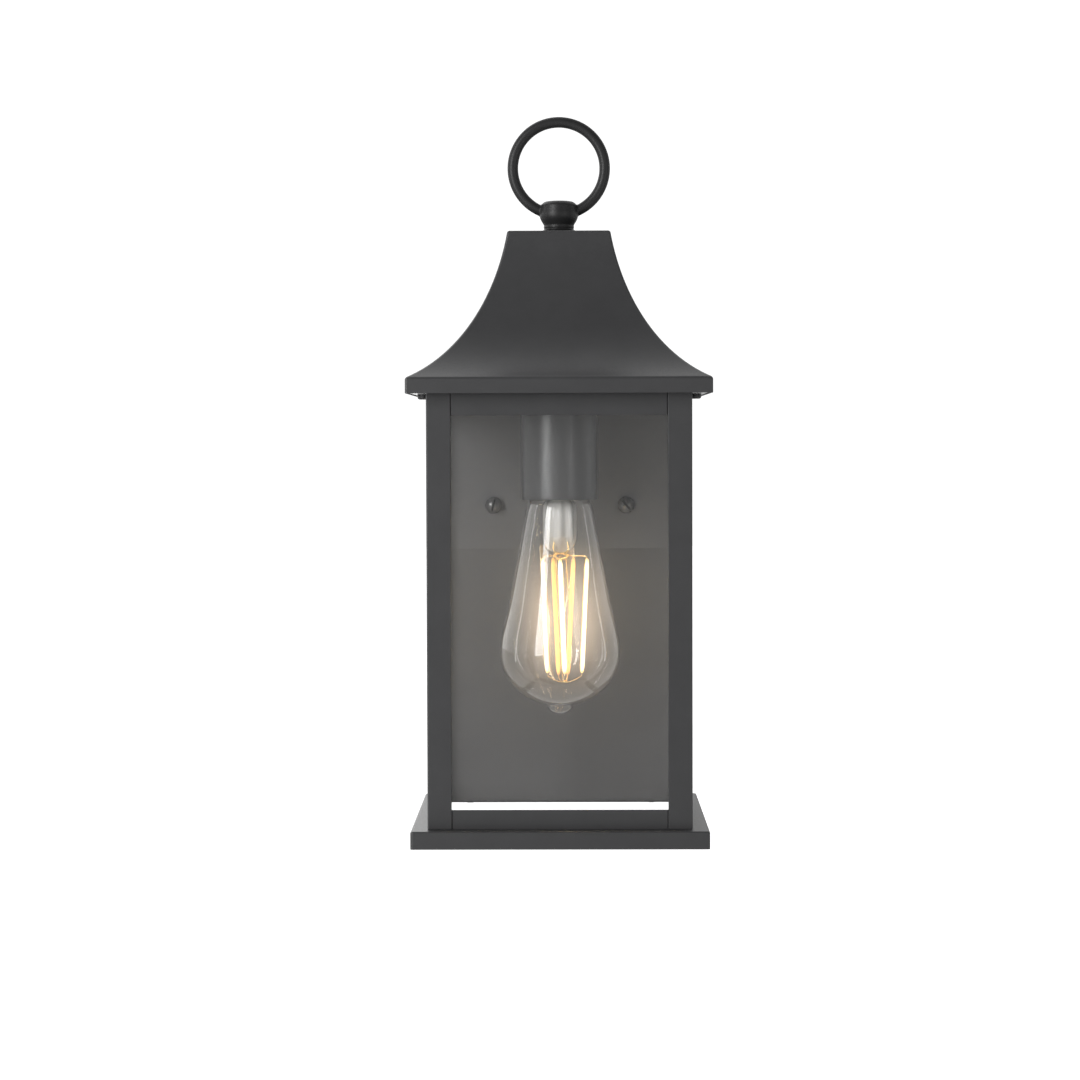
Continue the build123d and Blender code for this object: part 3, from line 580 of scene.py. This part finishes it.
def softened(node, name, width):
    """A copy of a sheet-metal piece whose edges are rounded as paint rounds them."""
    source = frame["nodes"][node]
    piece = source.copy()
    piece.data = source.data.copy()
    for key in list(piece.keys()):
        del piece[key]
    piece.parent = None
    bpy.context.scene.collection.objects.link(piece)
    piece.name = name
    edit(piece)
    bpy.ops.mesh.remove_doubles(threshold=MERGE_GAP / 2 * MM)
    bpy.ops.mesh.dissolve_limited(angle_limit=math.radians(0.5))
    leave()
    round_edges(piece, width, 2, sharper_than=40)
    smooth(piece, 50)
    flat_faces(piece)
    return piece


# ---- roof ----
SWEEP_CENTRE = (100.0, 169.6)          # each side's hollow is part of an ellipse round this centre: (x, z)
SWEEP_RADII = (75.5, 107.7)
SWEEP_STEPS = 26
ROOF_SHEET = 1.2
HIP_ROUNDING = 1.1


def sweep(angle):
    """Half the roof's width, and its height, at an angle along the hollow of its sides."""
    return (SWEEP_CENTRE[0] - SWEEP_RADII[0] * math.cos(angle),
            SWEEP_CENTRE[1] - SWEEP_RADII[1] * math.sin(angle))


def make_roof():
    """Concave hipped roof, drawn up from its square lip ring by ring, with softened hips."""
    low_angle = math.acos((SWEEP_CENTRE[0] - ROOF_HALF) / SWEEP_RADII[0])
    high_angle = math.asin((SWEEP_CENTRE[1] - roof_high.z) / SWEEP_RADII[1])
    bpy.ops.object.select_all(action="DESELECT")
    lip = (0, ROOF_MIDDLE * MM, roof_low.z * MM)
    bpy.ops.mesh.primitive_plane_add(size=2 * ROOF_HALF * MM, location=lip)
    roof = settle(bpy.context.object, "roof")
    edit(roof)
    size, height = ROOF_HALF, roof_low.z
    for i in range(SWEEP_STEPS + 1):
        new_size, new_height = sweep(low_angle + (high_angle - low_angle) * i / SWEEP_STEPS)
        bpy.ops.mesh.extrude_region_move(TRANSFORM_OT_translate={"value": (0, 0, (new_height - height) * MM)})
        scale = new_size / size
        centre = (0, ROOF_MIDDLE * MM, new_height * MM)
        bpy.ops.transform.resize(value=(scale, scale, 1), center_override=centre)
        size, height = new_size, new_height
    pick(roof, "faces", on_level(roof_low.z * MM, 10 * TOUCH))
    bpy.ops.mesh.delete(type="FACE")
    leave()
    clean(roof)
    # the lip's back edge stops short of the wall
    back = roof_high.y * MM
    edit(roof)
    if pick(roof, "verts", lambda vert: vert.co.y > back):
        for vert in bmesh.from_edit_mesh(roof.data).verts:
            if vert.select:
                vert.co.y = back
        bmesh.update_edit_mesh(roof.data)
    leave()
    round_edges(roof, HIP_ROUNDING, 4, sharper_than=30)
    thicken(roof, ROOF_SHEET)
    smooth(roof, 50)
    flat_faces(roof)
    install(roof, "lantern", "black_paint", [powder_black], "roof_shell")


# ---- ring and its holder ----
# the turned knob: (radius, height above its foot), then (radius, depth below its top)
KNOB_BODY = [
    (10.5, 0), (10.6, 0.3), (10.5, 0.8), (9.9, 1.2), (9.1, 1.6), (8.3, 2.0), (7.75, 2.4), (7.6, 2.7), (7.85, 3.0),
    (8.1, 3.4), (8.1, 3.8), (7.85, 4.2), (7.8, 4.5), (8.15, 5.1), (8.65, 5.9), (9.2, 6.8), (9.65, 7.7), (9.98, 8.6),
    (10.17, 9.5), (10.22, 10.4), (10.15, 11.3), (9.95, 12.2),
]
KNOB_CROWN = [(9.55, 2.2), (8.9, 1.5), (8.2, 0.9), (7.3, 0.45), (6.2, 0.2), (4.5, 0.08), (2.0, 0.02), (0.5, 0)]
CASTING_GRID = 0.34


def make_ring():
    """One casting: the ring runs through the turned knob, and the joint is filleted."""
    wire = (ring_high.y - ring_low.y) / 2
    outer = (ring_high.x - ring_low.x) / 2
    centre_z = (ring_low.z + ring_high.z) / 2
    foot, top = holder_low.z, holder_high.z
    stations = [(radius, foot + up) for radius, up in KNOB_BODY]
    stations += [(radius, top - down) for radius, down in KNOB_CROWN]
    knob = turned("ring_and_holder", stations, 0, ROOF_MIDDLE)
    edit(knob)
    pick(knob, "edges", on_level(foot * MM))
    bpy.ops.mesh.edge_face_add()
    leave()
    bpy.ops.object.select_all(action="DESELECT")
    bpy.ops.mesh.primitive_torus_add(
        major_radius=(outer - wire) * MM, minor_radius=wire * MM, major_segments=144, minor_segments=36,
        location=(0, ROOF_MIDDLE * MM, centre_z * MM), rotation=(math.pi / 2, 0, 0))
    casting = join([knob, settle(bpy.context.object, "ring_wire")])
    modify(casting, "REMESH", mode="VOXEL", voxel_size=CASTING_GRID * MM, use_smooth_shade=True)
    modify(casting, "SMOOTH", factor=0.5, iterations=8)
    clean(casting)
    smooth(casting, 60)
    install(casting, "lantern", "black_paint", [cast_black], "hanging_ring", "ring_holder")


# ---- cage and base ----
SHEET_ROUNDING, TRAY_ROUNDING, NUT_ROUNDING = 0.22, 0.12, 0.1
SOFT_SHEETS = {
    "front_post_left": "post_front_left", "front_post_right": "post_front_right",
    "rear_post_left": "post_rear_left", "rear_post_right": "post_rear_right",
    "front_top_rail": "rail_front_top", "front_bottom_rail": "rail_front_bottom",
    "side_top_rail_left": "rail_left_top", "side_top_rail_right": "rail_right_top",
    "side_bottom_rail_left": "rail_left_bottom", "side_bottom_rail_right": "rail_right_bottom",
    "base_frame": "base_tray", "wall_pan": "back_pan",
}
DOME_RADIUS, DOME_SINK = 4.7, 1.4      # each dome is part of a ball, centred this far before the pan
PAN_FACE = -30.0
SLOT_FLOOR = 4.7                       # how far the slots' floors stand before the pan
SKIN = 0.1                             # what lies deeper than this inside a dome is a wall of its slot


def make_sheets():
    for node, name in SOFT_SHEETS.items():
        piece = softened(node, name, TRAY_ROUNDING if node == "base_frame" else SHEET_ROUNDING)
        # the back pan gets the lighter copy of the black paint, painted light from the lamp
        coating = pan_black_painted_light if node == "wall_pan" else powder_black
        install(piece, "lantern", "black_paint", [coating], node)


def make_dome_nuts():
    """The walls of the driver slots lie inside the domes and get a near-black finish with almost no reflection,
    painted shade for the recess.
    """
    nuts = softened("dome_nuts", "cap_nuts", NUT_ROUNDING)
    dress(nuts, nut_black, slot_painted_shade)
    outermost = corners("dome_nuts")[1].x
    for face in nuts.data.polygons:
        spot = face.center / MM
        side = 1 if spot.x > 0 else -1
        centre = Vector((side * (outermost - DOME_RADIUS), PAN_FACE - DOME_SINK, 0))
        inside = (spot - centre).length < DOME_RADIUS - SKIN
        # the slot walls get the painted shade
        face.material_index = 1 if inside and spot.y < PAN_FACE - SLOT_FLOOR else 0
    install(nuts, "lantern", "black_paint", None, "dome_nuts")


# ---- socket cup ----
# the rolled mouth and the wall: (in from the full radius, height above the mouth)
CUP_WALL = [(0.9, 0.9), (0.75, 0.35), (0.4, 0.05), (0.1, 0.25), (0, 0.7), (0, 2.0), (0, 20.0), (0, 38.0)]
# the soft shoulder: (in from the full radius, depth below the top)
CUP_SHOULDER = [(0, 1.6), (0.15, 0.9), (0.5, 0.4), (1.0, 0.1), (2.0, 0)]
CUP_HOLE = 5.2
CUP_SHEET = 0.8


def make_cup():
    """Spun cup with a rolled mouth and a soft shoulder under the ceiling plate."""
    radius = (cup_high.x - cup_low.x) / 2
    mouth, top = cup_low.z, cup_high.z
    stations = [(radius - inset, mouth + up) for inset, up in CUP_WALL]
    stations += [(radius - inset, top - down) for inset, down in CUP_SHOULDER]
    stations.append((CUP_HOLE, top))
    cup = turned("lamp_cup", stations, LAMP_X, LAMP_Y, closed=False)
    thicken(cup, CUP_SHEET)
    smooth(cup, 40)
    install(cup, "lantern", "satin_black", [satin_black], "socket_cup")


# ---- lamp ----
NECK = (14.2, 5.2)                     # (radius, z) where the glass enters the cap
CONE_TOP, CONE_END = (18.0, -3.0), (26.0, -46.0)
CONE_STEPS = 8
BELLY = -76.5                          # height of the widest place
BOWL_DEPTH, BOWL_STEPS = 28.5, 26
SEAL = math.radians(14)                # the bowl stops this far short of its pole, at the sealed tip
# (radius, depth below the bowl's end) down the tip, before its last point
TIP = [(7.1, 0.3), (6.9, 1.0), (6.5, 1.9), (5.8, 2.8), (4.8, 3.6), (3.6, 4.3), (2.3, 4.75), (1.1, 5.0)]
TIP_END = 0.25
LAMP_WALL = 0.4


def envelope_stations():
    """The lamp glass from its neck to the sealed tip."""
    widest = (lamp_high.x - lamp_low.x) / 2
    stations = [NECK]
    stations += bezier([NECK, (16.0, 4.2), (17.3, 0.9), CONE_TOP], 7)
    wider, deeper = CONE_END[0] - CONE_TOP[0], CONE_END[1] - CONE_TOP[1]
    stations += [(CONE_TOP[0] + wider * i / CONE_STEPS, CONE_TOP[1] + deeper * i / CONE_STEPS)
                 for i in range(1, CONE_STEPS + 1)]
    stations += bezier([CONE_END, (28.2, -58.0), (widest, -66.5), (widest, BELLY)], 16)
    turn = math.pi / 2 - SEAL
    for i in range(1, BOWL_STEPS + 1):
        angle = turn * i / BOWL_STEPS
        stations.append((widest * math.cos(angle), BELLY - BOWL_DEPTH * math.sin(angle)))
    bowl_end = stations[-1][1]
    stations += [(radius, bowl_end - down) for radius, down in TIP]
    stations.append((TIP_END, lamp_low.z))
    return stations


def make_envelope():
    glass = turned("lamp_envelope", envelope_stations(), LAMP_X, LAMP_Y, sides=128)
    thicken(glass, LAMP_WALL)
    smooth(glass, 80)
    install(glass, "bulb", "lamp_glass", [lamp_glass], "bulb_glass")


STEM_STATIONS = [(6.2, 4.0), (7.4, 2.6), (8.2, 0.6), (8.45, -2.0), (8.45, -14.5), (8.2, -16.6), (7.4, -18.9),
                 (6.3, -20.8), (4.9, -22.6), (3.0, -23.6), (0.5, -24.0)]
STEM_FLUTES, FLUTE_DEPTH = 8, 0.06
PRESS_START, PRESS_LENGTH = -15.0, 7.0
PRESS_WIDER, PRESS_THINNER = 0.05, 0.55
STEM_WALL = 0.9


def make_stem():
    """Flared mount tube with long flutes, pressed flat at its lower end."""
    stem = turned("lamp_stem", STEM_STATIONS, LAMP_X, LAMP_Y, sides=64)
    edit(stem)
    mesh = bmesh.from_edit_mesh(stem.data)
    for vert in mesh.verts:
        x, y = vert.co.x - LAMP_X * MM, vert.co.y - LAMP_Y * MM
        flute = 1 + FLUTE_DEPTH * math.cos(STEM_FLUTES * math.atan2(y, x))
        press = min(1.0, max(0.0, (PRESS_START - vert.co.z / MM) / PRESS_LENGTH))
        vert.co.x = LAMP_X * MM + x * flute * (1 + PRESS_WIDER * press)
        vert.co.y = LAMP_Y * MM + y * flute * (1 - PRESS_THINNER * press)
    bmesh.update_edit_mesh(stem.data)
    leave()
    thicken(stem, STEM_WALL, even=False)
    smooth(stem, 50)
    install(stem, "bulb", "lamp_glass", [stem_glass], "bulb_stem")


MOUNT_SHIFT = 2.5                      # how far the sticks' middle lies off the lamp's axis
STICK_RADIUS = 1.2
STICK_TAPER = ((1.2, 0.86), (1.2, 0.72), (1.2, 0.66), (0.3, 0.6), (0.1, 0.45))   # (step, share of the area kept)
TAPER_LENGTH = 4.0                     # what the taper takes off each end of the straight part
# each stick: angle about the mount, radius and height at its top, the same at its end, and how squarely a face
# has to look outwards to be on the stick's white side
STICKS = [
    (-101.0, 12.0, -27.0, -90.0, 9.4, -87.0, -0.35),
    (-18.0, 12.4, -27.0, -18.0, 9.5, -87.0, -0.35),
    (59.0, 9.3, -27.0, 68.0, 4.4, -88.5, 0.75),
    (131.0, 9.3, -27.0, 138.0, 4.4, -88.5, 0.75),
    (198.0, 12.0, -27.0, 198.0, 9.6, -87.0, -0.35),
]


def stick_ends(row):
    """A stick's top, its end, and the way out of the lamp there."""
    ends = []
    for angle, radius, height in (row[:3], row[3:6]):
        turn = math.radians(angle)
        out = Vector((math.cos(turn), math.sin(turn), 0))
        ends.append(Vector((LAMP_X + MOUNT_SHIFT, LAMP_Y, height)) + out * radius)
    return (*ends, out)


def make_stick(row):
    """One stick with tapered ends. Its side that faces out of the lamp glows white, the other amber."""
    top, end, out = stick_ends(row)
    straight = (top - end).length - 2 * TAPER_LENGTH
    bpy.ops.object.select_all(action="DESELECT")
    bpy.ops.mesh.primitive_cylinder_add(vertices=16, radius=STICK_RADIUS * MM, depth=straight * MM)
    stick = settle(bpy.context.object, "stick")
    edit(stick)
    for side in (-1, 1):
        level = side * (straight / 2 * MM)
        pick(stick, "faces", on_level(level))
        for step, share in STICK_TAPER:
            bpy.ops.mesh.extrude_region_move(TRANSFORM_OT_translate={"value": (0, 0, side * step * MM)})
            level += side * step * MM
            narrower = share ** 0.5
            bpy.ops.transform.resize(value=(narrower, narrower, 1), center_override=(0, 0, level))
    leave()
    aim = (top - end).normalized().to_track_quat("Z", "Y").to_matrix().to_4x4()
    stick.data.transform(Matrix.Translation((top + end) / 2 * MM) @ aim)
    dress(stick, bright_phosphor, amber_phosphor)
    white_from = row[6]
    for face in stick.data.polygons:
        face.material_index = 0 if face.normal.dot(out) > white_from else 1
    return stick


def make_sticks():
    filaments = join([make_stick(row) for row in STICKS])
    filaments.name = "lamp_filaments"
    smooth(filaments, 50)
    install(filaments, "bulb", "filament", None, "bulb_filaments")


def fine_wire(points, radius):
    """A fine wire through points, as a mesh."""
    curve = bpy.data.curves.new("wire", "CURVE")
    curve.dimensions = "3D"
    curve.bevel_depth = radius * MM
    curve.bevel_resolution = 3
    curve.resolution_u = 6
    curve.use_fill_caps = True
    spline = curve.splines.new("NURBS")
    spline.points.add(len(points) - 1)
    for spot, point in zip(spline.points, points):
        spot.co = (*(point * MM), 1)
    spline.order_u = 3
    spline.use_endpoint_u = True
    wire = bpy.data.objects.new("wire", curve)
    bpy.context.scene.collection.objects.link(wire)
    only(wire)
    bpy.ops.object.convert(target="MESH")
    return bpy.context.object


PRESS = Vector((LAMP_X + 0.6, LAMP_Y, -22.0))
HUB = Vector((LAMP_X + MOUNT_SHIFT, LAMP_Y, -92.0))
HUB_RADIUS = 0.9
LEAD_RADIUS, LOOP_RADIUS, ARM_RADIUS, FOOT_RADIUS = 0.22, 0.42, 0.3, 0.17
# the loose loop round the press, measured from the press, for the right side
LOOP = [(3.4, -4.6, 4.0), (4.6, -5.0, 0.0), (1.6, -5.4, -2.4), (-3.2, -4.8, -1.6), (-4.2, -3.0, -4.4),
        (2.2, -1.6, -5.4)]


def make_wires():
    """Lead-in wires and loops out of the press, arms to the sticks' tops, and a star of arms below."""
    wires = []
    for side in (-1, 1):
        spread = Vector((side * 2.9, 0, 0))
        lead = [PRESS + spread * 0.9, PRESS + spread * 0.95 - UP * 8, Vector((HUB.x + side * 2.6, LAMP_Y, -50)),
                Vector((HUB.x + side * 2.1, LAMP_Y, -84)), HUB + spread * 0.25]
        wires.append(fine_wire(lead, LEAD_RADIUS))
        wires.append(fine_wire([PRESS + Vector((side * x, y, z)) for x, y, z in LOOP], LOOP_RADIUS))
    for row in STICKS:
        top, end, out = stick_ends(row)
        along = (top - end).normalized()
        arm = [PRESS + out * 1.5 - UP * 2.2, PRESS + out * 4.5 - UP * 3.6, top + along * 1.6 - out * 1.8,
               top + along * 1.4, top - along * 2.0]
        foot = [HUB, HUB + out * 2.2 - UP * 0.6, end - along * 2.2 - out * 0.6, end - along * 1.4,
                end + along * 2.0]
        wires.append(fine_wire(arm, ARM_RADIUS))
        wires.append(fine_wire(foot, FOOT_RADIUS))
    bpy.ops.object.select_all(action="DESELECT")
    bpy.ops.mesh.primitive_ico_sphere_add(subdivisions=3, radius=HUB_RADIUS * MM, location=HUB * MM)
    wires.append(settle(bpy.context.object, "hub"))
    bundle = join(wires)
    bundle.name = "lamp_wires"
    clean(bundle)
    smooth(bundle, 50)
    install(bundle, "bulb", "lamp_wire", [gold_wire], "bulb_support_wires")


# ---- put it together ----
BOUNCES = 16                           # enough for light to cross the panes and the lamp's glass

scene = bpy.context.scene
scene.view_settings.view_transform = "Standard"
scene.cycles.caustics_refractive = False
scene.cycles.caustics_reflective = False
scene.cycles.transparent_max_bounces = BOUNCES
scene.cycles.transmission_bounces = BOUNCES
scene.cycles.max_bounces = BOUNCES

set_camera()
set_world()
set_floor()
set_softboxes()

dress_cad_nodes()
make_roof()
make_ring()
make_sheets()
make_dome_nuts()
make_cup()
make_envelope()
make_stem()
make_sticks()
make_wires()
bpy.ops.object.select_all(action="DESELECT")
